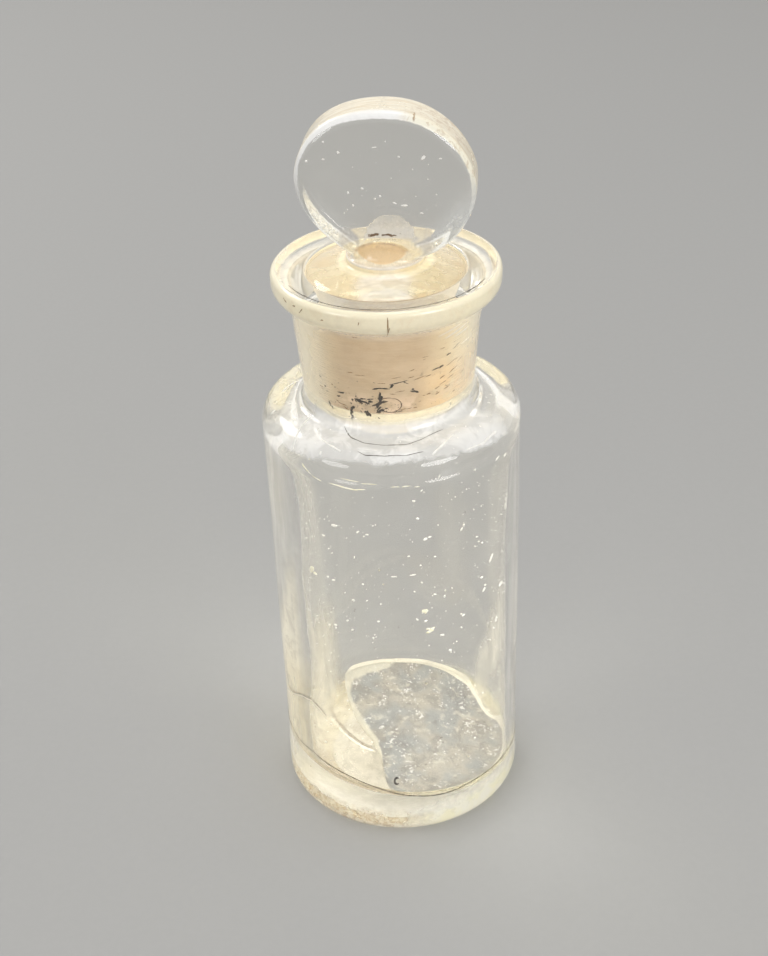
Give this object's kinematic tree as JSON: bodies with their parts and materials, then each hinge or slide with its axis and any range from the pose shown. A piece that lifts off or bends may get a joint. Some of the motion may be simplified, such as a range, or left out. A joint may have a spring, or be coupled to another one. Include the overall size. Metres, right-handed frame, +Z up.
{
  "type": "apothecary bottle",
  "caption": "Small round apothecary bottle of clear blown glass with a flanged lip and a ground-in disc stopper that lifts out.",
  "frame": {"origin": "middle of the foot, on the surface that the bottle stands on", "axes": "+Z up along the bottle's axis; -Y is the side that the picture shows, and +X is to its right"},
  "size_m": [0.032, 0.032, 0.0954],
  "materials": {
    "bottle_glass": "polished",
    "stopper_glass": "polished",
    "dried_residue": "matte"
  },
  "bodies": {
    "bottle": {"bottle": "bottle_glass", "floor_residue": "dried_residue"},
    "stopper": {"stopper": "stopper_glass"}
  },
  "joints": [
    {"name": "stopper_lift", "type": "slide", "parent": "bottle", "child": "stopper", "axis": [0, 0, 1], "range_m": [0, 0.04]}
  ]
}
